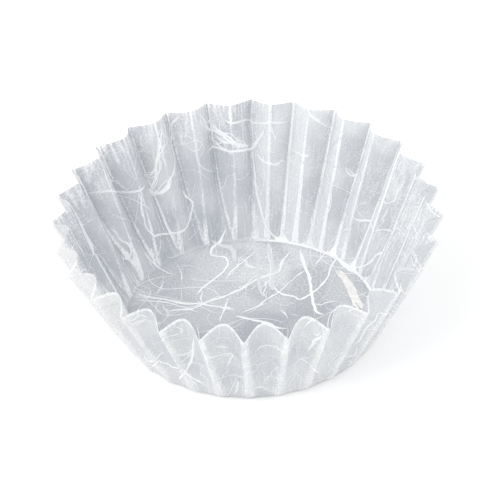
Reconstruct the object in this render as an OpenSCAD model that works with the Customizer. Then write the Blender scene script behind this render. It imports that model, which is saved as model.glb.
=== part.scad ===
// Fluted food cup: one round blank of thin film, pressed into a flared cup.
// The blank is wider than the wall is round, so the wall stands in flutes.
// The film can't stretch, so the depth of the flutes follows from the blank.

/* [Cup] */
// Diameter of the flat base
base_d = 55; // [40:1:70]
// Height of the rim, halfway through the flutes
cup_h = 27.8; // [20:0.2:38]
// How far the rim leans out past the base, halfway through the flutes
flare = 12.5; // [8:0.5:18]
// Thickness of the film
film_t = 0.1; // [0.06:0.02:0.2]
// Radius of the bend between the base and the wall
bend_r = 0.8; // [0.4:0.1:2]

/* [Flutes] */
// Number of flutes round the wall
flutes = 28; // [20:1:34]
// Roundness of the outer ridges, from a crease to a wave
ridge_blunt = 0.12; // [0.1:0.02:0.6]
// Power that shapes the inner lobes: a lower one makes broader arches
lobe_power = 0.85; // [0.7:0.05:1]
// Height over which the outer ridges sharpen above the base
foot_h = 2.2; // [1:0.2:6]
// Direction of one outer ridge, seen from above
turn = 87.5; // [0:0.5:90]

/* [Hidden] */

// Share of a flute's depth that lies outside the middle of the wall
outer_share = 0.55;
// What a rounded flute adds to the depth of a shallow wave of the same length
depth_gain = 1.03;
// Phases of the columns in one flute: 0 is an outer ridge, 0.5 an inner one
phases = [0, 0.05, 0.15, 0.3, 0.5, 0.7, 0.85, 0.95];
// Bands of facets in the bend and in the wall, and how they bunch at the base
bend_bands = 2;
wall_bands = 8;
bunching = 1.5;
// Steps along and round the film that its normal is taken over
step_s = 0.01;
step_a = 0.02;

base_r = base_d / 2;
// Angle of the wall from upright, and the angle that the film bends through
lean = atan2(flare, cup_h);
bend_a = 90 - lean;
// Radius of the flat, and the lengths of film in the bend and up to the rim
flat_r = base_r - bend_r * tan(bend_a / 2);
bend_len = bend_r * bend_a * PI / 180;
rim_s = bend_len + norm([flare, cup_h]) - bend_r * tan(bend_a / 2);

// The section halfway through the flutes, s along the film from the flat's edge
function bend_point(angle) =
    [flat_r + bend_r * sin(angle), bend_r * (1 - cos(angle))];
function spine(s) =
    s <= 0 ? [flat_r + s, 0] :
    s <= bend_len ? bend_point(s / bend_len * bend_a) :
    bend_point(bend_a) + (s - bend_len) * [sin(lean), cos(lean)];

// Spare length of the blank over the ring it has to fit, and the flutes it fills
function spare(s) = (flat_r + s) / spine(s)[0];
function flute_depth(s) =
    depth_gain * sqrt(2 * (pow(spare(s), 2) - 1)) * 2 * spine(s)[0] / flutes;

// One flute across: 1 on its outer ridge, 0 on its inner ridge
function lobe(across, blunt) = pow(norm([across, blunt]), lobe_power);
function crest(phase, blunt) =
    (lobe(1, blunt) - lobe(sin(180 * phase), blunt)) / (lobe(1, blunt) - lobe(0, blunt));
function blunt_at(s) = ridge_blunt + exp(-max(s, 0) / foot_h);

// A point in the middle of the film, s along it, at an angle round the cup
function film_point(s, angle) =
    let (phase = (angle - turn) * flutes / 360,
         out = flute_depth(s) * (crest(phase, blunt_at(s)) - 1 + outer_share),
         r = spine(s)[0] + out * cos(lean),
         z = spine(s)[1] - out * sin(lean))
    [r * cos(angle), r * sin(angle), z + film_t / 2];

// The film's outward normal there
function film_normal(s, angle) =
    let (round_way = film_point(s, angle + step_a) - film_point(s, angle - step_a),
         up_way = film_point(s, angle) - film_point(s - step_s, angle),
         n = cross(round_way, up_way))
    n / norm(n);

columns = [for (i = [0:flutes - 1], phase = phases) turn + (i + phase) * 360 / flutes];
rows = [
    for (i = [0:bend_bands - 1]) bend_len * i / bend_bands,
    for (i = [0:wall_bands])
        bend_len + (rim_s - bend_len) * pow(i / wall_bands, bunching)
];

// Points of one face of the film: side is 1 outside and -1 inside
function face_points(side) = [
    for (s = rows, angle = columns)
        film_point(s, angle) + side * film_t / 2 * film_normal(s, angle)
];

module cup() {
    count = len(columns);
    last = len(rows) - 1;
    inside = count * len(rows);
    under_centre = 2 * inside;
    top_centre = under_centre + 1;
    // Corners of the cell between two rows and two columns, anticlockwise from outside
    cell = function (row, i, from)
        [row, row, row + 1, row + 1] * count
        + [i, (i + 1) % count, (i + 1) % count, i]
        + [1, 1, 1, 1] * from;

    points = concat(
        face_points(1),
        face_points(-1),
        [[0, 0, 0], [0, 0, film_t]]
    );
    faces = [
        // Walls, each cell cut along the same diagonal on both faces
        for (row = [0:last - 1], i = [0:count - 1])
            let (c = cell(row, i, 0), d = cell(row, i, inside))
            each [[c[0], c[2], c[1]], [c[0], c[3], c[2]],
                  [d[0], d[1], d[2]], [d[0], d[2], d[3]]],
        // The cut edge at the rim, and the two sides of the flat base
        for (i = [0:count - 1])
            let (j = (i + 1) % count, rim = last * count)
            each [[rim + i, inside + rim + j, rim + j],
                  [rim + i, inside + rim + i, inside + rim + j],
                  [i, j, under_centre],
                  [inside + j, inside + i, top_centre]]
    ];
    color("whitesmoke", 0.8)
        polyhedron(points, faces, convexity = 10);
}

cup();
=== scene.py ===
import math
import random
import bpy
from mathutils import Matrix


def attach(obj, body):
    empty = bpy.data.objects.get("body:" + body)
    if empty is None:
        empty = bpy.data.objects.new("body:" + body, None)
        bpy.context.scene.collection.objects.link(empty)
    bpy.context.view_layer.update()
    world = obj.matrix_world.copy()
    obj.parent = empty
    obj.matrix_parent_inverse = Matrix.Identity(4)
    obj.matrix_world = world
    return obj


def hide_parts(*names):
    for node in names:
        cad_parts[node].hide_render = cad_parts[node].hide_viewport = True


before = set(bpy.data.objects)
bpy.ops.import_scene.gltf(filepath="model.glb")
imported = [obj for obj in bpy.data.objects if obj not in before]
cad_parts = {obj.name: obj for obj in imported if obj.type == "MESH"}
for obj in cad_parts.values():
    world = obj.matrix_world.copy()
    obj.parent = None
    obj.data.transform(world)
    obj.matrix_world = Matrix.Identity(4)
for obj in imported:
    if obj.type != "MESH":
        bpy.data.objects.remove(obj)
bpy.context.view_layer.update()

# Looks of a fluted food cup: one sheet of translucent film with white fibres in it.
# The film is lofted from its flat blank as the CAD solid is, with small irregularities.
# Places on the film are given on the blank: s runs outward from the edge of the flat
# base, and the angle runs round the cup. The fibres that the photo shows are given by
# pixels of the photo, and a ray from the camera finds their places on the film.

from types import SimpleNamespace

import bpy
import numpy as np
from mathutils import Matrix, Vector
from mathutils.bvhtree import BVHTree

MM = 0.001

# Sizes of the cup, as in the CAD model
BASE_R = 27.5 * MM
CUP_H = 27.8 * MM
FLARE = 12.5 * MM
FILM_T = 0.1 * MM
BEND_R = 0.8 * MM
FLUTES = 28
RIDGE_BLUNT = 0.12
LOBE_POWER = 0.85
FOOT_H = 2.2 * MM
TURN = math.radians(87.5)
OUTER_SHARE = 0.55
DEPTH_GAIN = 1.03

LEAN = math.atan2(FLARE, CUP_H)
BEND_A = math.pi / 2 - LEAN
FLAT_R = BASE_R - BEND_R * math.tan(BEND_A / 2)
BEND_LEN = BEND_R * BEND_A
RIM_S = BEND_LEN + math.hypot(FLARE, CUP_H) - BEND_R * math.tan(BEND_A / 2)
BLANK_R = FLAT_R + RIM_S
PITCH = 2 * math.pi / FLUTES

# How far the pressed flutes stray from even ones: an outer ridge in angle, an inner ridge as a
# share of a flute, and the depth as a share of itself
RIDGE_STRAY = 0.02 * PITCH
VALLEY_STRAY = 0.04
DEPTH_STRAY = 0.05

# Depth of the dents in the film, and of the ripples that run up the flutes
DENT_DEPTH = 0.05 * MM
RIPPLE_DEPTH = 0.02 * MM

# Phases of the mesh's columns in half a flute, closest at the outer ridge
HALF_PHASES = (0, 0.015, 0.035, 0.065, 0.1, 0.14, 0.19, 0.25, 0.31, 0.37, 0.43, 0.47)
WALL_ROWS = 46
BEND_ROWS = 4
BASE_ROWS = 10
WALL_BUNCHING = 1.25

# Steps along the film and round it, in flutes, that its normal is taken over
STEP_S = 0.02 * MM
STEP_TURNS = 0.002

# A drum, in millimetres, that streaks are drawn on: they are longer than wide by its squash
DRUM_R = 35
DRUM_SQUASH = 8

# Fine fibres that lie anywhere in the sheet, and how much each may bend
STRAY_FIBRES = 170
STRAY_WIDTHS = (0.1 * MM, 0.22 * MM)
STRAY_PROUD = (0.01 * MM, 0.03 * MM)
STRAY_LENGTHS = (8 * MM, 30 * MM)
STRAY_STEP = 0.45 * MM
STRAY_TURN = 0.03
STRAY_TURN_STEP = 0.035
STRAY_MARGIN = 0.3 * MM
STRAY_LEAST_POINTS = 12

# Long fibres: the length of their steps, how far they wobble and how proud they lie
THREAD_STEP = 0.35 * MM
THREAD_WOBBLE = 0.07 * MM
THREAD_PROUD = (0.03 * MM, 0.06 * MM)

# The photo's frame, and the view of it that the cup's rim and base fix
FRAME_PX = 500
SENSOR_MM = 36
VIEW_ELEVATION = math.radians(38.12)
VIEW_ROLL = math.radians(2.57)
VIEW_DISTANCE = 3.405
PX_PER_MM = 4.657
TARGET = Vector((0, 0, 14 * MM))
TARGET_PX = (249.27, 267.06)

# Light all round, and what the floor adds to the camera's view of it so that it is white
WORLD_LEVEL = 0.92
FLOOR_LIFT = 0.135
FLOOR_SIDE = 3.0
FLOOR_DROP = 0.05 * MM

# Colours of the film: inside, from a shaded side of a flute to a lit one, as painted shade and
# light; outside, from clear to cloudy, paler than inside partly as the film's own and partly as
# painted light; outside at the left of the front, painted pale as if lit from the left, and at
# the right end, painted darker as if in shade; its whites at the left and the right, the right
# one a touch darker as painted shade against the stronger light there; and the painted shade
# in a fold
INSIDE_GREYS = (0.45, 0.475, 0.525, 1), (0.78, 0.805, 0.825, 1)
OUTSIDE_GREYS = (0.76, 0.785, 0.815, 1), (0.84, 0.855, 0.87, 1)
PAINTED_LIT_LEFT_FRONT_GREY = (0.93, 0.935, 0.945, 1)
PAINTED_SHADED_RIGHT_END_GREY = (0.7, 0.725, 0.755, 1)
FILM_WHITES = (0.98, 0.985, 0.99, 1), (0.965, 0.97, 0.98, 1)
PAINTED_FOLD_SHADE = (0.42, 0.45, 0.5, 1)

# Colours of the fibres: thin ones, then two ends of the grain in dense ones and in the flake
THIN_FIBRE = (0.8, 0.82, 0.85, 1)
DENSE_FIBRE = (0.92, 0.925, 0.93, 1), (0.96, 0.965, 0.97, 1)
FLAKE_IVORY = (0.8, 0.8, 0.79, 1), (0.94, 0.93, 0.905, 1)

# Middle of the haze on the base, partly the film's own whitish haze and partly painted light, on
# the blank in millimetres
HAZE_CENTRE = (19, -4, 0)

# Long fibres on the rear wall, then on the base and in front: the pixels of the photo that
# each runs through, its width in millimetres, its number of strands and how dense it is
REAR_FIBRES = (
    (((201, 113.5), (204, 121.6), (208, 128.8), (215, 131), (220.4, 134), (224.5, 137),
      (231.6, 141), (240.8, 144), (248, 145)), 0.6, 3, 1),
    (((205, 116.5), (212, 124.7), (218.4, 130.8), (225.5, 135), (233, 141),
      (243, 147)), 0.5, 2, 1),
    (((211, 136), (217, 143), (222.4, 148), (228.6, 151), (237.8, 151), (247, 150), (253, 148),
      (259, 139), (264.8, 130.5)), 0.5, 2, 1),
    (((207, 152), (209, 150), (215, 147), (222.4, 148.7), (230, 151)), 0.4, 1, 1),
    (((214, 134), (222, 141), (233, 144), (246, 148)), 0.5, 2, 0.9),
    (((225, 120.6), (232.6, 123), (244, 120), (249.5, 120.6), (255.6, 123), (268, 123),
      (278, 123), (290, 120.6)), 0.4, 1, 0.95),
    (((264.8, 130.5), (259.4, 137.4), (254.8, 145), (251, 151)), 0.5, 1, 1),
    (((254.8, 153.5), (259.4, 157.3), (265.5, 162), (271, 164), (277, 164), (281.6, 161),
      (285.4, 163.4)), 0.45, 1, 1),
    (((269.4, 123.7), (272.4, 129.8), (274, 137.4), (274.7, 141), (280, 142.8)), 0.3, 1, 0.8),
    (((309, 110), (312, 116), (316.8, 120.6), (324.5, 125), (332, 129)), 0.6, 1, 1),
    (((293, 150.4), (298.5, 153.5), (303.8, 155), (311.5, 154.3)), 0.4, 1, 0.9),
    (((345, 166.4), (348.8, 172), (354.5, 176), (358.5, 174)), 0.6, 1, 1),
    (((352.6, 218), (359.3, 220), (368.9, 220), (371.7, 223.8), (374.6, 231.4)), 0.5, 1, 1),
    (((342, 233), (346, 230), (351.7, 229.5)), 0.4, 1, 0.8),
    (((374.6, 231.4), (386, 230.4), (393.8, 234.3)), 0.4, 1, 0.7),
    (((356.4, 267.8), (365, 265.8), (372.7, 260), (379.4, 254.4), (385, 250.5)), 0.5, 1, 0.9),
    (((338, 248.6), (343, 250), (348, 248.6)), 0.4, 1, 0.8),
    (((89, 192), (100, 192), (110, 191), (120.4, 191.5), (130.6, 191.5), (138.8, 190.5),
      (144, 185.5)), 0.5, 1, 1),
    (((144, 176.7), (149, 173.5), (153, 171.6), (157, 165)), 0.5, 1, 1),
    (((161.2, 125), (160.5, 140), (158.5, 155), (157, 165), (156.5, 172), (156, 178), (152, 186),
      (151.5, 191), (156, 193), (162, 192), (168, 187), (171.5, 179.9)), 0.6, 3, 1),
    (((178.6, 116.5), (173, 124), (171.4, 134), (171.2, 144.9), (173.5, 155), (174.5, 164),
      (172.5, 174), (170, 180), (165, 187), (160, 193)), 0.45, 2, 1),
    (((181.6, 190), (186.7, 195), (192, 203), (192, 212.4), (188.8, 221.6), (184.7, 228.8),
      (180.6, 231.8), (173.5, 232.9), (166, 234), (158, 235), (154, 236), (146, 227.7),
      (144, 219.6), (142, 209.4), (141, 199), (138, 194)), 0.38, 1, 0.95),
    (((109.4, 227), (115.5, 233), (119.6, 240), (127.8, 243.5), (130.8, 249.6), (129.8, 256.7),
      (124.7, 258.8), (121.6, 255.7)), 0.45, 1, 1),
    (((108, 179), (113, 181), (118, 182), (121.4, 185), (126.5, 190)), 0.35, 1, 0.9),
    (((142.8, 249), (150.7, 260.5), (157, 267), (164, 271), (173, 275)), 0.3, 1, 0.8),
    (((80, 196), (82, 200), (86, 201)), 0.3, 1, 0.8),
)

FRONT_FIBRES = (
    (((225.5, 228), (219, 241), (213, 248), (212, 255), (225.7, 258), (227, 267), (216, 277),
      (208, 284.4), (200, 291.6), (196, 295)), 0.5, 1, 1),
    (((135, 295), (154, 298), (170, 301), (184, 303.5), (202, 304), (219, 307),
      (235, 309)), 0.55, 2, 1),
    (((136, 300), (150, 302), (168, 303), (185, 308), (196, 312)), 0.35, 1, 0.9),
    (((167, 312), (178, 310), (189, 310), (197, 307), (205, 303.5), (213, 300), (224, 297),
      (235, 292), (245, 287.6), (257.5, 280), (269, 275.7), (278, 271.7), (282, 263.7),
      (286, 257), (291, 252)), 0.4, 2, 1),
    (((227, 299.5), (238, 296.4), (248, 291), (256, 284.4)), 0.35, 1, 1),
    (((300.6, 251), (305, 263.7), (308.6, 276.5), (311, 289), (313, 303.6), (316, 311.5),
      (323, 314.7)), 0.8, 1, 1),
    (((337, 257), (332.5, 264.5), (329, 275), (323, 284), (315, 291.6), (305, 298), (299, 299.6),
      (294, 296.4), (281.5, 294), (273.5, 287.6), (272, 280)), 0.45, 1, 1),
    (((268.7, 243), (270, 254), (272, 267), (272, 283), (273.5, 291)), 1.3, 1, 0.6),
    (((257.5, 247.8), (251, 255.7), (241.6, 263.7), (232, 271.7), (225.7, 281)), 0.35, 1, 0.9),
    (((305, 271), (296, 276.5), (288, 283.6), (278, 292.4), (265.5, 300),
      (257.5, 308)), 0.35, 1, 0.85),
    (((235, 315.5), (268.7, 323.5), (276.7, 327.5), (286, 329)), 0.5, 1, 1),
    (((241.6, 313), (267, 303)), 0.35, 1, 0.9),
    (((280, 310), (284.7, 313), (287, 319.5)), 0.35, 1, 0.9),
    (((178, 267), (181, 275), (181, 284)), 0.3, 1, 0.7),
    (((163.5, 281), (160, 289), (155.5, 295.6)), 0.3, 1, 0.7),
    (((315, 267), (323, 256), (328, 250)), 0.3, 1, 0.8),
    (((336, 302), (326.4, 303), (320.6, 305), (312, 303)), 0.3, 1, 0.8),
    (((290, 314.5), (299.6, 316.4)), 0.3, 1, 0.8),
    (((338, 261), (343.6, 265.7), (349.3, 269.6), (356, 273.4)), 0.8, 1, 1),
    (((202, 291), (201, 299), (202, 304)), 0.3, 1, 0.9),
    (((228, 299), (225, 310), (218, 322)), 0.35, 1, 0.9),
    (((253, 243), (258, 256), (258, 275), (262, 296)), 1, 1, 0.45),
    (((212, 240), (222, 246), (232, 250), (236, 262)), 1.3, 2, 0.5),
    (((193.5, 339), (193, 349), (191, 359.7), (186.6, 369), (183, 374.6), (179, 379)), 0.5, 1, 1),
    (((151, 367.7), (155.6, 363), (161, 362.6), (168, 364), (175, 367.7), (182, 370),
      (186.6, 373.5), (193.5, 378), (200, 381.5), (205, 385.5)), 0.4, 1, 1),
    (((187, 374), (193, 381), (199, 385)), 0.3, 1, 0.9),
    (((215, 346), (223, 346.5), (232.5, 349)), 0.35, 1, 0.9),
    (((203.8, 354), (208, 357.4), (215, 356), (223, 354), (233, 354.5), (230, 361),
      (226.8, 366.6)), 0.35, 1, 0.95),
    (((255.5, 351.7), (261, 346.5), (269, 345), (276, 347), (280.7, 350.5),
      (286.5, 353)), 0.4, 1, 1),
    (((256.6, 366.6), (262, 363), (268, 362.6)), 0.35, 1, 0.8),
    (((247.4, 392), (254, 389), (261, 386.7), (268, 389.5), (274, 392)), 0.35, 1, 0.9),
    (((263.5, 382.6), (266, 378), (271.5, 376), (278.4, 379), (285, 374.6)), 0.3, 1, 0.8),
    (((238, 380), (238, 388), (233.6, 394)), 0.4, 1, 1),
    (((167, 336.7), (175, 334.4), (182, 331), (179.7, 327.6), (174, 327)), 0.35, 1, 0.95),
    (((156.7, 358.5), (160, 355), (163.6, 352)), 0.35, 1, 1),
    (((143, 354), (150, 361), (155.6, 364)), 0.35, 1, 0.95),
    (((322.5, 335.6), (315.8, 341.3), (308, 350.9)), 0.6, 1, 1),
    (((293.8, 364.3), (300.5, 358.5), (307, 362.4), (314, 368), (318.7, 372.9)), 0.35, 1, 0.9),
    (((396, 306.9), (383.7, 313.6), (374, 320.3), (365.6, 328.9), (359.8, 339.4),
      (355, 344)), 0.45, 1, 1),
    (((400, 282), (402, 288.7), (404.8, 294.4)), 0.35, 1, 0.9),
    (((390.5, 287.7), (393.3, 292.5)), 0.3, 1, 0.8),
    (((326.4, 366.2), (333, 359.5), (343.6, 351.8), (349.3, 348)), 0.3, 2, 0.85),
    (((304.4, 327), (309, 322), (313, 319.3)), 0.4, 1, 0.95),
    (((312, 330.8), (316.8, 335.6), (321.6, 332.7)), 0.4, 1, 0.95),
    (((352, 357.6), (356, 351.8), (357, 346)), 0.35, 1, 0.9),
    (((136, 318), (141, 315), (147, 317)), 0.5, 1, 1),
    (((134, 326), (139, 322), (146, 319)), 0.5, 1, 1),
    (((252.7, 149.8), (254.7, 171.6), (257.6, 191.7), (261.3, 211.2), (265.4, 225.2),
      (271.7, 235), (281.9, 241.8)), 0.5, 1, 1),
)

# Two at the left side, partly behind the front: places on the blank in millimetres, and
# the rest as above
SIDE_FIBRES = (
    (((8.5, 55.8), (5.6, 51.5), (4.6, 47.2), (3.7, 44.4)), 1.5, 1, 0.75),
    (((3.9, 45), (3.6, 38.3), (3.3, 32), (3, 29.5)), 0.6, 1, 1),
)

# An ivory flake of coarse fibre at the edge of the base: strips side by side along one line
FLAKE = ((16, -18.7), (12.6, -20.2), (8.7, -21.5), (5.2, -22.6), (2.4, -23.8))
FLAKE_STRIPS = 8
FLAKE_SIDE = Vector((0.35, -0.94))
FLAKE_REACH = 0.6 * MM
FLAKE_WOBBLE = 0.15 * MM
FLAKE_WIDTHS = (0.4 * MM, 0.8 * MM)
FLAKE_PROUD = (0.05 * MM, 0.08 * MM)


def stray(seed, spread):
    """One seeded random number for each flute, the same number at the end as at the start."""
    rng = random.Random(seed)
    values = [rng.uniform(-spread, spread) for _ in range(FLUTES)]
    return np.array(values + values[:1])


RIDGE_SHIFT = stray(1, RIDGE_STRAY)
DEPTH_SHIFT = stray(2, DEPTH_STRAY)
VALLEY_SHIFT = stray(3, VALLEY_STRAY)


def spine(s):
    """Radius and height of the middle of the wall at s."""
    bend = np.clip(s, 0, BEND_LEN) / BEND_R
    wall = np.maximum(s - BEND_LEN, 0)
    r = FLAT_R + np.minimum(s, 0) + BEND_R * np.sin(bend) + wall * math.sin(LEAN)
    z = BEND_R * (1 - np.cos(bend)) + wall * math.cos(LEAN)
    return r, z


def flute_depth(s):
    """Depth of the flutes at s, which takes up the blank's spare length there."""
    r, _ = spine(s)
    spare = (FLAT_R + s) / r
    return DEPTH_GAIN * np.sqrt(2 * np.maximum(spare**2 - 1, 0)) * 2 * r / FLUTES


def crest(phase, blunt):
    """1 on an outer ridge and 0 on an inner one."""
    lobe = (np.sin(np.pi * phase) ** 2 + blunt**2) ** (LOBE_POWER / 2)
    top = (1 + blunt**2) ** (LOBE_POWER / 2)
    return (top - lobe) / (top - blunt**LOBE_POWER)


def waves(seed, count, least, most):
    """Seeded wave vectors over the blank, with wavelengths between least and most, and phases."""
    rng = random.Random(seed)
    out = []
    for _ in range(count):
        way, length = rng.uniform(0, math.pi), rng.uniform(least, most)
        out.append((2 * math.pi / length * math.cos(way), 2 * math.pi / length * math.sin(way),
                    rng.uniform(0, 2 * math.pi)))
    return out


DENTS = waves(4, 16, 5 * MM, 14 * MM)
RIPPLES = [(random.Random(50 + k).randint(3 * FLUTES, 9 * FLUTES), k) for k in range(8)]


def crinkle(s, turns):
    """Slight dents of the film and ripples along the flutes, none on the flat base."""
    up = np.clip(s / RIM_S, 0, 1)
    a = turns * PITCH
    x, y = (FLAT_R + s) * np.cos(a), (FLAT_R + s) * np.sin(a)
    dents = sum(np.sin(u * x + v * y + w) for u, v, w in DENTS) / math.sqrt(len(DENTS))
    ripples = sum(np.sin(n * a + k + 1.5 * np.sin(3 * up + k)) for n, k in RIPPLES)
    return (DENT_DEPTH * dents + RIPPLE_DEPTH * ripples / math.sqrt(len(RIPPLES))) * np.sqrt(up)


def film_middle(s, turns):
    """Points in the middle of the film. turns counts flutes from the first outer ridge."""
    s, turns = np.broadcast_arrays(np.asarray(s, float), np.asarray(turns, float))
    flute = np.floor(turns).astype(int)
    phase = turns - flute
    flute = flute % FLUTES
    up = np.clip(s / RIM_S, 0, 1)
    shift = RIDGE_SHIFT[flute] * (1 - phase) + RIDGE_SHIFT[flute + 1] * phase
    angle = TURN + turns * PITCH + shift * up
    even = phase + VALLEY_SHIFT[flute] * np.sin(np.pi * phase) ** 2 * up
    grow = 1 + DEPTH_SHIFT[flute] * (1 - phase) + DEPTH_SHIFT[flute + 1] * phase
    blunt = RIDGE_BLUNT + np.exp(-np.maximum(s, 0) / FOOT_H)
    out = flute_depth(s) * grow * (crest(even, blunt) - 1 + OUTER_SHARE) + crinkle(s, turns)
    r, z = spine(s)
    r = r + out * math.cos(LEAN)
    z = z - out * math.sin(LEAN)
    return np.stack([r * np.cos(angle), r * np.sin(angle), z + FILM_T / 2], -1)


def film_normal(s, turns):
    """Outward normals of the film."""
    round_way = film_middle(s, turns + STEP_TURNS) - film_middle(s, turns - STEP_TURNS)
    up_way = film_middle(s, turns) - film_middle(s - STEP_S, turns)
    n = np.cross(round_way, up_way)
    return n / np.linalg.norm(n, axis=-1, keepdims=True)


def film_faces(s, turns):
    """Points on the film's outside and inside."""
    middle, normal = film_middle(s, turns), film_normal(s, turns)
    half = normal * FILM_T / 2
    return middle + half, middle - half


def column_turns():
    """Places of the mesh's columns, in flutes."""
    mirrored = [0.5] + [1 - p for p in reversed(HALF_PHASES[1:])]
    phases = list(HALF_PHASES) + mirrored
    return np.array([i + p for i in range(FLUTES) for p in phases])


def row_lengths():
    """Places of the mesh's rows, as s: across the base, round the bend and up the wall."""
    bend = [BEND_LEN * i / BEND_ROWS for i in range(BEND_ROWS)]
    wall = [BEND_LEN + (RIM_S - BEND_LEN) * (i / WALL_ROWS) ** WALL_BUNCHING
            for i in range(WALL_ROWS + 1)]
    base = [-FLAT_R * (1 - i / BASE_ROWS) for i in range(1, BASE_ROWS)]
    return np.array(base + bend + wall)


def blank_place(s, turns):
    """Places on the flat blank, in millimetres."""
    r, a = (FLAT_R + s) / MM, turns * PITCH
    return np.stack([r * np.cos(a), r * np.sin(a), np.zeros_like(r)], -1)


def new_mesh(name, points, faces, material, smooth=True):
    mesh = bpy.data.meshes.new(name)
    mesh.from_pydata([tuple(p) for p in points], [], faces)
    mesh.polygons.foreach_set("use_smooth", [smooth] * len(mesh.polygons))
    mesh.update()
    mesh.materials.append(material)
    piece = bpy.data.objects.new(name, mesh)
    bpy.context.scene.collection.objects.link(piece)
    return piece


def set_attribute(piece, name, kind, values):
    layer = piece.data.attributes.new(name, kind, "POINT")
    field = "vector" if kind == "FLOAT_VECTOR" else "value"
    layer.data.foreach_set(field, np.asarray(values, np.float32).ravel())


def make_film(material):
    """The whole sheet as one closed skin: outside, inside and the cut edge at the rim."""
    turns, rows = column_turns(), row_lengths()
    t, s = np.meshgrid(turns, rows)
    outside, inside = film_faces(s, t)
    count, last = len(turns), len(rows) - 1
    inner = count * len(rows)
    centre = 2 * inner
    points = np.concatenate([
        outside.reshape(-1, 3), inside.reshape(-1, 3), [[0, 0, 0], [0, 0, FILM_T]]])
    faces = []
    for i in range(count):
        j = (i + 1) % count
        for row in range(last):
            a, b = row * count, (row + 1) * count
            faces.append((a + i, a + j, b + j, b + i))
            faces.append((inner + a + j, inner + a + i, inner + b + i, inner + b + j))
        rim = last * count
        faces.append((rim + i, rim + j, inner + rim + j, inner + rim + i))
        faces.append((j, i, centre))
        faces.append((inner + i, inner + j, centre + 1))
    film = new_mesh("film", points, faces, material)
    mark_film(film, s, t)
    set_attribute(film, "outside", "FLOAT", [1] * inner + [0] * inner + [1, 0])
    return film


def mark_film(film, s, turns):
    """Attributes that place the film's colours, on both faces and the base's two centres.

    blank is the place on the flat blank. flute is the place across a flute, as a point of a
    circle whose first axis is an outer ridge, and the share of the way to the rim. run is the
    place on the drum. All but that share are in millimetres.
    """
    place = blank_place(s, turns).reshape(-1, 3)
    ends = [[0, 0, 0], [0, 0, 0]]
    set_attribute(film, "blank", "FLOAT_VECTOR", np.concatenate([place, place, ends]))
    reach = (FLAT_R + s) / MM / FLUTES
    across = 2 * np.pi * turns
    flute = np.stack([np.cos(across) * reach, np.sin(across) * reach, s / RIM_S], -1)
    a = turns * PITCH
    run = np.stack([DRUM_R * np.cos(a), DRUM_R * np.sin(a), s / MM / DRUM_SQUASH], -1)
    for name, value in (("flute", flute), ("run", run)):
        values = value.reshape(-1, 3)
        ends = [[0, 0, value[..., 2].min()]] * 2
        set_attribute(film, name, "FLOAT_VECTOR", np.concatenate([values, values, ends]))


def from_blank(points):
    """(s, turns) of points on the blank."""
    points = np.asarray(points)
    r = np.hypot(points[:, 0], points[:, 1])
    return r - FLAT_R, (np.arctan2(points[:, 1], points[:, 0]) / PITCH) % FLUTES


def smooth_path(points, step):
    """A Catmull-Rom curve through points on the blank, a point for each step."""
    ends = [2 * points[0] - points[1]] + points + [2 * points[-1] - points[-2]]
    path = []
    for a, b, c, d in zip(ends, ends[1:], ends[2:], ends[3:]):
        parts = max(1, round((c - b).length / step))
        for k in range(parts):
            t = k / parts
            path.append(0.5 * (2 * b + (c - a) * t + (2 * a - 5 * b + 4 * c - d) * t**2
                               + (3 * b - a - 3 * c + d) * t**3))
    return path + [points[-1]]


def wobble(line, rng, reach):
    """The line with slight bends, as a list of plain points."""
    bends = [Vector((rng.gauss(0, reach), rng.gauss(0, reach))) for _ in range(len(line) // 4 + 3)]
    out = []
    for k, at in enumerate(line):
        i, t = divmod(k / 4, 1)
        i = int(i)
        t = t * t * (3 - 2 * t)
        out.append(tuple(at + bends[i] * (1 - t) + bends[i + 1] * t))
    return out


class Sheet:
    """The middle of the film as the camera sees it, to find places on it by pixels of the photo."""

    def __init__(self, camera):
        self.turns, self.rows = column_turns(), row_lengths()
        t, s = np.meshgrid(self.turns, self.rows)
        self.points = film_middle(s, t)
        self.count = len(self.turns)
        faces = [(a + i, a + (i + 1) % self.count, a + self.count + (i + 1) % self.count,
                  a + self.count + i)
                 for a in range(0, self.count * (len(self.rows) - 1), self.count)
                 for i in range(self.count)]
        self.tree = BVHTree.FromPolygons([Vector(p) for p in self.points.reshape(-1, 3)], faces)
        self.camera = camera

    def place(self, pixel):
        """Place on the blank of the film's first point behind a pixel, to the nearest 0.1 mm."""
        data, view = self.camera.data, self.camera.matrix_world
        reach = data.lens / data.sensor_width * FRAME_PX
        ray = Vector(((pixel[0] - FRAME_PX / 2) / reach, (FRAME_PX / 2 - pixel[1]) / reach, -1))
        ray = (view.to_3x3() @ ray).normalized()
        hit, _, face, _ = self.tree.ray_cast(view.translation, ray)
        row, i = divmod(face, self.count)
        corner = self.points[row, i]
        across = self.points[row, (i + 1) % self.count] - corner
        along = self.points[row + 1, i] - corner
        off = np.array(hit) - corner
        u, v = np.clip(np.linalg.lstsq(np.stack([across, along], 1), off, rcond=None)[0], 0, 1)
        s = self.rows[row] + v * (self.rows[row + 1] - self.rows[row])
        turns = self.turns[i] + u * ((self.turns[(i + 1) % self.count] - self.turns[i]) % FLUTES)
        x, y, _ = blank_place(s, turns)
        return Vector((round(x, 1), round(y, 1))) * MM


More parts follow.
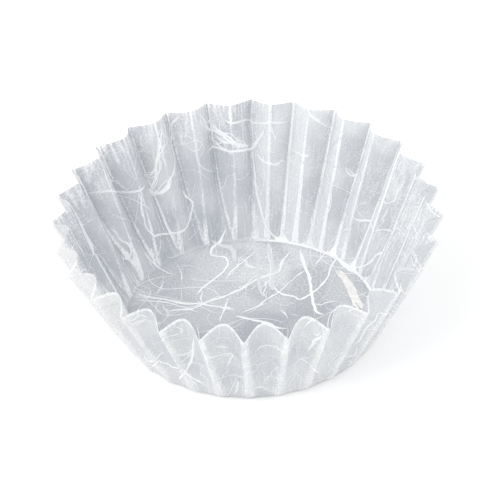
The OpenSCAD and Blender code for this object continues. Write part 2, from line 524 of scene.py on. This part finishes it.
class Fibres:
    """Flat threads that lie in the wall, a little proud of it, as one mesh."""

    def __init__(self):
        self.points, self.faces, self.looks = [], [], []

    def add(self, path, width, proud, dense=1.0, ivory=0.0):
        """One thread along a path on the blank. dense is its cover and ivory its tint, 0 to 1."""
        s, turns = from_blank(path)
        middle = film_middle(s, turns)
        normal = film_normal(s, turns)
        side = np.cross(normal, np.gradient(middle, axis=0))
        side = side / np.linalg.norm(side, axis=1, keepdims=True)
        count = len(path)
        taper = np.minimum(1, np.minimum(np.arange(count), np.arange(count)[::-1]) / 6 + 0.15)
        half_w = side * width / 2 * taper[:, None]
        up = np.clip(s / (2 * MM), -0.5, 1)[:, None]
        out, into = normal * (FILM_T / 2 + proud) * up, normal * (FILM_T / 2 + proud)
        first = len(self.points)
        ring = np.stack([middle + half_w + out, middle - half_w + out,
                         middle - half_w - into, middle + half_w - into], 1)
        self.points.extend(ring.reshape(-1, 3))
        self.looks += [(dense, ivory, proud / MM)] * (4 * count)
        for a in range(first, first + 4 * (count - 1), 4):
            for e in range(4):
                f = (e + 1) % 4
                self.faces.append((a + e, a + 4 + e, a + 4 + f, a + f))
        last = first + 4 * (count - 1)
        self.faces.append((first, first + 1, first + 2, first + 3))
        self.faces.append((last + 3, last + 2, last + 1, last))


def add_long_fibre(fibres, rng, marks, width, strands, dense):
    """One main thread, and strands that stray further from it, each thinner and fainter."""
    for strand in range(strands + 1):
        reach = 0.12 if strand < 2 else 0.25 * strand
        wander = [Vector((rng.gauss(0, 1), rng.gauss(0, 1))) * reach * MM for _ in marks]
        moved = [mark + shift for mark, shift in zip(marks, wander)]
        line = wobble(smooth_path(moved, THREAD_STEP), rng, THREAD_WOBBLE)
        part = max(0.45, 0.8 - 0.25 * strand)
        fibres.add(line, width * part * MM, rng.uniform(*THREAD_PROUD), dense * min(1, part + 0.2))


def add_flake_strip(fibres, rng):
    across = FLAKE_SIDE * rng.uniform(-FLAKE_REACH, FLAKE_REACH)
    cut = rng.choice((FLAKE, FLAKE[1:], FLAKE[:-1]))
    moved = [Vector(mark) * MM + across for mark in cut]
    line = wobble(smooth_path(moved, THREAD_STEP), rng, FLAKE_WOBBLE)
    fibres.add(line, rng.uniform(*FLAKE_WIDTHS), rng.uniform(*FLAKE_PROUD), ivory=1)


def add_stray_fibre(fibres, rng):
    """A thread that starts anywhere on the blank and turns slowly as it goes."""
    r, a = BLANK_R * math.sqrt(rng.random()), rng.uniform(0, 2 * math.pi)
    at, way = Vector((r * math.cos(a), r * math.sin(a))), rng.uniform(0, 2 * math.pi)
    turn, line = rng.gauss(0, STRAY_TURN), []
    for _ in range(int(rng.uniform(*STRAY_LENGTHS) / STRAY_STEP)):
        if at.length > BLANK_R - STRAY_MARGIN:
            break
        line.append(tuple(at))
        turn = 0.9 * turn + rng.gauss(0, STRAY_TURN_STEP)
        way += turn
        at = at + Vector((math.cos(way), math.sin(way))) * STRAY_STEP
    if len(line) > STRAY_LEAST_POINTS:
        fibres.add(line, rng.uniform(*STRAY_WIDTHS), rng.uniform(*STRAY_PROUD),
                   rng.uniform(0.3, 0.7))


def long_fibres(camera):
    """The marks of each long fibre on the blank, with its width, strands and density."""
    sheet = Sheet(camera)
    rear = [([sheet.place(p) for p in pixels], *look) for pixels, *look in REAR_FIBRES]
    side = [([Vector(p) * MM for p in places], *look) for places, *look in SIDE_FIBRES]
    front = [([sheet.place(p) for p in pixels], *look) for pixels, *look in FRONT_FIBRES]
    return rear + side + front


def make_fibres(camera, material):
    fibres = Fibres()
    rng = random.Random(7)
    for fibre in long_fibres(camera):
        add_long_fibre(fibres, rng, *fibre)
    for _ in range(FLAKE_STRIPS):
        add_flake_strip(fibres, rng)
    for _ in range(STRAY_FIBRES):
        add_stray_fibre(fibres, rng)
    piece = new_mesh("fibres", fibres.points, fibres.faces, material, smooth=False)
    set_attribute(piece, "look", "FLOAT_VECTOR", fibres.looks)
    return piece


class Nodes:
    """Short names for the nodes of one material."""

    def __init__(self, name):
        self.material = bpy.data.materials.new(name)
        self.material.use_nodes = True
        self.tree = self.material.node_tree
        self.shader = self.tree.nodes["Principled BSDF"]

    def put(self, socket, value):
        if isinstance(value, bpy.types.NodeSocket):
            self.tree.links.new(value, socket)
        else:
            socket.default_value = value

    def field(self, name, output="Vector"):
        node = self.tree.nodes.new("ShaderNodeAttribute")
        node.attribute_name = name
        return node.outputs[output]

    def place(self):
        return self.tree.nodes.new("ShaderNodeTexCoord").outputs["Object"]

    def length(self, vector):
        node = self.tree.nodes.new("ShaderNodeVectorMath")
        node.operation = "LENGTH"
        self.put(node.inputs[0], vector)
        return node.outputs["Value"]

    def parts(self, vector):
        node = self.tree.nodes.new("ShaderNodeSeparateXYZ")
        self.put(node.inputs[0], vector)
        return tuple(node.outputs)

    def math(self, kind, a, b=0.0):
        node = self.tree.nodes.new("ShaderNodeMath")
        node.operation = kind
        for socket, value in zip(node.inputs, (a, b)):
            self.put(socket, value)
        return node.outputs[0]

    def vector(self, kind, a, b):
        node = self.tree.nodes.new("ShaderNodeVectorMath")
        node.operation = kind
        self.put(node.inputs[0], a)
        self.put(node.inputs["Scale" if kind == "SCALE" else 1], b)
        return node.outputs[0]

    def noise(self, place, size, detail=2.0, rough=0.5, offset=0.0, colour=False):
        """Noise with features about size millimetres wide, from 0 to 1 with 0.5 in the middle."""
        node = self.tree.nodes.new("ShaderNodeTexNoise")
        if offset:
            place = self.vector("ADD", place, (offset, offset, offset))
        self.put(node.inputs["Vector"], place)
        node.inputs["Scale"].default_value = 1 / size
        node.inputs["Detail"].default_value = detail
        node.inputs["Roughness"].default_value = rough
        return node.outputs["Color" if colour else "Fac"]

    def span(self, value, low, high, to_low=0.0, to_high=1.0, smooth=True):
        """value from low to high brought to the range to_low to to_high."""
        node = self.tree.nodes.new("ShaderNodeMapRange")
        node.interpolation_type = "SMOOTHSTEP" if smooth else "LINEAR"
        for socket, number in zip(node.inputs, (value, low, high, to_low, to_high)):
            self.put(socket, number)
        return node.outputs[0]

    def line(self, value, half, soft):
        """1 within half of zero, falling to 0 over soft."""
        return self.span(self.math("ABSOLUTE", value), half, half + soft, 1.0, 0.0)

    def chain(self, kind, values):
        out = values[0]
        for value in values[1:]:
            out = self.math(kind, out, value)
        return out

    def total(self, *values):
        return self.chain("ADD", values)

    def product(self, *values):
        return self.chain("MULTIPLY", values)

    def highest(self, *values):
        return self.chain("MAXIMUM", values)

    def blend(self, share, a, b):
        node = self.tree.nodes.new("ShaderNodeMix")
        node.data_type = "RGBA"
        self.put(node.inputs["Factor"], share)
        for socket, value in zip([i for i in node.inputs if i.type == "RGBA"], (a, b)):
            self.put(socket, value)
        return next(o for o in node.outputs if o.type == "RGBA")

    def finish(self, **sockets):
        for name, value in sockets.items():
            self.put(self.shader.inputs[name.replace("_", " ")], value)
        return self.material

    def bump(self, height, strength, distance):
        node = self.tree.nodes.new("ShaderNodeBump")
        node.inputs["Strength"].default_value = strength
        node.inputs["Distance"].default_value = distance
        self.put(node.inputs["Height"], height)
        return node.outputs[0]


def fibre_material():
    n = Nodes("fibre")
    dense, ivory, _ = n.parts(n.field("look"))
    grain = n.noise(n.vector("SCALE", n.place(), 1 / MM), 0.5, 1)
    white = n.blend(n.span(dense, 0.3, 0.9, smooth=False), THIN_FIBRE,
                    n.blend(grain, *DENSE_FIBRE))
    cream = n.blend(n.span(grain, 0.35, 0.65), *FLAKE_IVORY)
    return n.finish(Base_Color=n.blend(ivory, white, cream), Alpha=n.span(dense, 0.3, 0.7, 0.7, 1),
                    Roughness=n.span(grain, 0.3, 0.7, 0.45, 0.65),
                    Normal=n.bump(grain, 0.3, 0.03 * MM))


def film_zones(n):
    """Where a point lies on the film: places as mark_film says, and zones from 0 to 1."""
    blank, run = n.field("blank"), n.field("run")
    along, across, height = n.parts(n.field("flute"))
    outside = n.field("outside", "Fac")
    back, aside, _ = n.parts(run)
    left = n.span(aside, -6, 6)
    left_front = n.product(n.span(aside, 14, 28), n.span(back, 3, -8))
    return SimpleNamespace(
        blank=blank, blank_back=n.parts(blank)[0], run=run,
        along=along, across=across, height=height,
        outside=outside, inside=n.math("SUBTRACT", 1, outside),
        base=n.span(height, 0.0, -0.05), wall=n.span(height, 0.0, 0.04),
        left=left, right=n.math("SUBTRACT", 1, left), right_end=n.span(aside, -24, -33),
        left_front=left_front,
        front=n.product(n.span(back, -8, -24), n.span(left_front, 0, 1, 1, 0.5)))


def outer_ridge(n, zone, off, strength, strong):
    """White and painted shade of an outer ridge, off millimetres from its crease.

    Outside it is one soft white band, a painted sheen. Inside, at the left it is painted shade in
    the fold between two white lines, and at the right a wider white line that ends in a white
    triangle at the base, a painted highlight. The white lines inside are partly whitened film at
    the crease and partly painted highlight.
    """
    ridge = n.product(n.span(zone.along, -0.2, 0.2), zone.wall)
    # The white lines beside the crease inside are partly whitened film and partly painted highlight
    # on the flanks that face the light: two at the left, one wider at the right
    beside = n.product(n.math("ADD", off, 0.4), n.span(zone.left, 0, 1, 0.7, 1.2))
    pair = n.highest(n.line(beside, 0.15, 0.14),
                     n.product(n.line(n.math("SUBTRACT", off, 0.45), 0.08, 0.14), 0.6))
    single = n.line(off, 0.28, 0.25)
    inside = n.highest(n.product(pair, zone.left), n.product(single, zone.right))
    # Painted sheen: outside, a soft white band along the ridge
    painted_sheen_band = n.product(n.line(zone.across, 0.5, 0.9), n.span(zone.left_front, 0, 1, 0.6, 0.4))
    white = n.product(ridge, n.highest(n.product(inside, zone.inside, strong),
                                       n.product(painted_sheen_band, zone.outside)))
    # Painted highlight: a white triangle where the crease meets the base, on the right only
    spread = n.math("ADD", n.math("ABSOLUTE", zone.across), n.product(zone.height, 14))
    painted_toe_highlight = n.product(n.span(spread, 1.4, 1.15), n.span(zone.height, 0.0, 0.01),
                    n.span(zone.along, -0.2, 0.2), zone.right,
                    n.span(strength, 0.35, 0.6, 0.45, 1))
    # Painted shade in the fold of the crease, inside at the left, stronger higher up the wall
    painted_fold_shade = n.product(ridge, zone.left, n.line(off, 0.05, 0.14), zone.inside,
                     n.span(zone.height, 0.3, 0.8, 0.4, 0.9))
    return n.highest(white, painted_toe_highlight), painted_fold_shade


def inner_ridge(n, zone, off, strong):
    """White line of an inner ridge, partly whitened film and partly painted highlight, wider near
    the base and at the right, and the faint painted shadows beside it.
    """
    ridge = n.product(n.span(zone.along, 0.2, -0.2), zone.wall, zone.inside)
    low = n.span(zone.height, 0.4, 0.02)
    away = n.math("ABSOLUTE", off)
    # Painted highlight: the line is wider near the base and on the right, where more light falls
    width = n.total(n.span(low, 0, 1, 0.16, 0.36, smooth=False), n.product(zone.right, 0.14))
    crest = n.span(away, width, n.math("ADD", width, 0.22), 1.0, 0.0)
    clear = n.span(n.noise(zone.run, 9, 0, offset=90), 0.35, 0.55, 0.45, 1)
    white = n.product(ridge, crest, n.highest(n.product(strong, clear), low))
    return white, n.product(ridge, n.line(n.math("SUBTRACT", away, 0.8), 0.1, 0.3))


def film_texture(n, zone):
    """Fine threads where a noise crosses its middle, clouds, grain, and streaks up the flutes."""
    value, there, patch = n.parts(n.noise(zone.blank, 9, 2, 0.3, offset=11, colour=True))
    thread = n.product(n.line(n.math("SUBTRACT", value, 0.5), 0.003, 0.007),
                       n.span(there, 0.4, 0.6))
    grain = n.span(n.noise(zone.blank, 0.5, 2, 0.65), 0.3, 0.7, -1, 1, smooth=False)
    streak = n.product(n.span(n.noise(zone.run, 0.5, 1, 0.6), 0.35, 0.65, -1, 1, smooth=False),
                       zone.wall, n.span(there, 0.4, 0.6, 0.35, 0.15),
                       n.span(zone.outside, 0, 1, 1, 0.5))
    return thread, n.span(patch, 0.4, 0.6), grain, streak


def painted_light_zones(n, zone, cloud):
    """Painted light and shade that lie over whole areas of the inside."""
    # Painted light: at the left of the front the flutes nearly close, and are painted as one pale,
    # lit wall
    closed = n.product(zone.left_front, zone.inside, n.span(zone.along, -0.8, 0.8),
                       n.span(zone.height, 0.4, 0.7), 0.6)
    # Painted light: inside at the right end, which faces the light
    right_end = n.product(zone.right_end, zone.inside, n.span(zone.height, 0.2, 0.6), 0.4)
    # Painted shade low on the inside of the left wall, and painted light near its rim
    painted_left_wall_shade_and_light = n.product(zone.left, zone.inside, zone.wall,
                         n.span(zone.height, 0.6, 0.95, -0.12, 0.35))
    # Painted light: the back of the base is paler, while its front lies in the front wall's shade
    painted_base_back_light = n.product(zone.base, n.span(zone.blank_back, 0, 10), 0.12)
    # The haze on the middle of the base is partly the film's own whitish haze and partly painted
    # light
    from_haze = n.length(n.vector("SUBTRACT", zone.blank, HAZE_CENTRE))
    haze_and_painted_light = n.product(n.span(from_haze, 17, 5), zone.base,
                     n.span(cloud, 0, 1, 0.1, 0.32, smooth=False))
    return n.total(closed, right_end, painted_left_wall_shade_and_light, painted_base_back_light, haze_and_painted_light)


def film_grey(n, zone, cloud):
    """The clear film's greys, with painted light and shade. Inside at the right, a flute's left
    side is painted lighter, as lit more; the base is painted darker towards the front, in the front
    wall's shade; outside is paler than inside, partly as the film's own and partly as painted
    light, painted paler still at the left of the front and darker at the right end.
    """
    right_wall = n.product(n.span(zone.across, -0.6, 0.6, 1, 0.45), zone.right)
    wall = n.product(n.math("ADD", right_wall, n.product(zone.left, 0.02)), zone.wall)
    # Painted shade: the base's grey darkens towards the front
    base = n.product(n.span(zone.blank_back, -8, 9, 0, 0.36), n.math("SUBTRACT", 1, zone.wall))
    inside = n.blend(n.total(wall, base, n.product(cloud, 0.35)), *INSIDE_GREYS)
    outside = n.blend(cloud, *OUTSIDE_GREYS)
    # Outside: painted light at the left of the front, and painted shade at the right end
    outside = n.blend(zone.left_front, outside, PAINTED_LIT_LEFT_FRONT_GREY)
    outside = n.blend(n.product(zone.right_end, 0.6), outside, PAINTED_SHADED_RIGHT_END_GREY)
    return n.blend(zone.outside, inside, outside)


def film_material():
    n = Nodes("film")
    zone = film_zones(n)

    # Each crease wanders a little, and is strong in one stretch and faint in the next. On the
    # left an outer and an inner crease run together at the base.
    shift, strength, _ = n.parts(n.noise(zone.run, 2.5, 1, colour=True))
    near_base = n.math("POWER", n.span(zone.height, 0.8, 0.0, smooth=False), 1.7)
    off = n.total(zone.across, n.span(shift, 0.2, 0.8, -0.3, 0.3, smooth=False),
                  n.product(near_base, zone.left, 0.95))
    strong = n.span(strength, 0.35, 0.55, 0.55, 1)
    outer_crease_white_and_highlight, painted_fold_shade = outer_ridge(n, zone, off, strength, strong)
    inner_crease_white_and_highlight, shade = inner_ridge(n, zone, off, strong)
    thread, cloud, grain, streak = film_texture(n, zone)

    # The bend at the base's edge is painted white on the right, a painted highlight, and dark on
    # the left, a painted shadow in the corner under the wall. The cut edge at the rim is painted
    # white in front, a painted highlight.
    bend = n.product(n.line(n.math("SUBTRACT", zone.height, 0.002), 0.006, 0.01), zone.inside)
    rim = n.product(n.span(zone.height, 0.965, 0.985), zone.front, 0.7)
    # The white lines: crease whites, partly whitened film and partly painted highlight, the fine
    # threads, and the painted highlights of the bend and the rim
    lines = n.highest(outer_crease_white_and_highlight, inner_crease_white_and_highlight, n.product(thread, 0.6),
                      n.product(bend, zone.right), rim)
    # Painted shade: in the folds of the outer creases, and in the corner where the bend at the base
    # meets the wall on the left
    painted_shade = n.highest(n.product(painted_fold_shade, 0.6), n.product(bend, zone.left, 0.3))

    # The whites take in the painted light over whole areas, and the painted shadows beside inner
    # ridges
    white = n.total(lines, streak, painted_light_zones(n, zone, cloud), n.product(grain, 0.34),
                    n.product(shade, -0.2))
    white = n.math("MAXIMUM", 0, n.math("MINIMUM", 1, white))
    # The whites are a touch darker at the right: painted shade against the stronger light there
    colour = n.blend(white, film_grey(n, zone, cloud), n.blend(zone.right, *FILM_WHITES))
    alpha = n.math("MINIMUM", n.total(0.6, n.product(white, 0.38)), 0.96)
    return n.finish(Base_Color=n.blend(painted_shade, colour, PAINTED_FOLD_SHADE), Alpha=alpha,
                    Roughness=n.total(0.36, n.product(white, 0.15)), Specular_IOR_Level=0.3,
                    Normal=n.bump(grain, 0.15, 0.03 * MM))


def make_camera():
    """The photo's view: a long lens from the front, above, a little rolled."""
    back = Vector((0, -math.cos(VIEW_ELEVATION), math.sin(VIEW_ELEVATION)))
    level = Vector((1, 0, 0))
    upright = Vector((0, math.sin(VIEW_ELEVATION), math.cos(VIEW_ELEVATION)))
    c, s = math.cos(VIEW_ROLL), math.sin(VIEW_ROLL)
    right, up = c * level - s * upright, s * level + c * upright
    across = (FRAME_PX / 2 - TARGET_PX[0]) / PX_PER_MM * MM
    above = (TARGET_PX[1] - FRAME_PX / 2) / PX_PER_MM * MM
    aim = TARGET + across * right + above * up
    data = bpy.data.cameras.new("camera")
    data.sensor_width = SENSOR_MM
    data.lens = PX_PER_MM * VIEW_DISTANCE / MM / FRAME_PX * SENSOR_MM
    data.clip_start, data.clip_end = 0.1, 20
    camera = bpy.data.objects.new("camera", data)
    bpy.context.scene.collection.objects.link(camera)
    camera.matrix_world = Matrix.Translation(aim + back * VIEW_DISTANCE) @ Matrix(
        (right, up, back)).transposed().to_4x4()
    bpy.context.scene.camera = camera
    return camera


def white_to_camera(tree, level, white):
    """A value that is white to the camera, mirrors and glass, and level to everything else."""
    path = tree.nodes.new("ShaderNodeLightPath")
    seen = path.outputs["Is Camera Ray"]
    for name in ("Is Glossy Ray", "Is Transmission Ray"):
        more = tree.nodes.new("ShaderNodeMath")
        more.operation = "MAXIMUM"
        tree.links.new(seen, more.inputs[0])
        tree.links.new(path.outputs[name], more.inputs[1])
        seen = more.outputs[0]
    blend = tree.nodes.new("ShaderNodeMapRange")
    blend.inputs["To Min"].default_value = level
    blend.inputs["To Max"].default_value = white
    tree.links.new(seen, blend.inputs["Value"])
    return blend.outputs[0]


def make_world(level):
    world = bpy.data.worlds.new("studio")
    bpy.context.scene.world = world
    world.use_nodes = True
    background = world.node_tree.nodes["Background"]
    background.inputs["Color"].default_value = (1, 1, 1, 1)
    strength = white_to_camera(world.node_tree, level, 1)
    world.node_tree.links.new(strength, background.inputs["Strength"])


def make_floor():
    """A pale floor that is white to the camera where no shadow falls on it."""
    material = bpy.data.materials.new("floor")
    material.use_nodes = True
    tree = material.node_tree
    shader = tree.nodes["Principled BSDF"]
    shader.inputs["Base Color"].default_value = (0.9, 0.9, 0.9, 1)
    shader.inputs["Roughness"].default_value = 0.9
    shader.inputs["Specular IOR Level"].default_value = 0
    shader.inputs["Emission Color"].default_value = (1, 1, 1, 1)
    tree.links.new(white_to_camera(tree, 0, FLOOR_LIFT), shader.inputs["Emission Strength"])
    ways = ((-1, -1), (1, -1), (1, 1), (-1, 1))
    corners = [(x * FLOOR_SIDE, y * FLOOR_SIDE, -FLOOR_DROP) for x, y in ways]
    floor = new_mesh("floor", corners, [(0, 1, 2, 3)], material, smooth=False)
    return floor


def make_lamp(name, place, size, power):
    data = bpy.data.lights.new(name, "AREA")
    data.shape = "DISK"
    data.size = size
    data.energy = power
    lamp = bpy.data.objects.new(name, data)
    bpy.context.scene.collection.objects.link(lamp)
    lamp.location = place
    lamp.rotation_mode = "QUATERNION"
    lamp.rotation_quaternion = (Vector(place) - TARGET).to_track_quat("Z", "Y")
    return lamp


camera = make_camera()
make_world(WORLD_LEVEL)
make_floor()
make_lamp("key", (-2.4, -1.7, 3.4), 2.8, 72)
make_lamp("fill", (3.1, -1.3, 1.9), 1.4, 21)

film = make_film(film_material())
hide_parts("cup")
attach(film, "root")

fibres = make_fibres(camera, fibre_material())
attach(fibres, "root")

bpy.context.scene.view_settings.view_transform = "Standard"
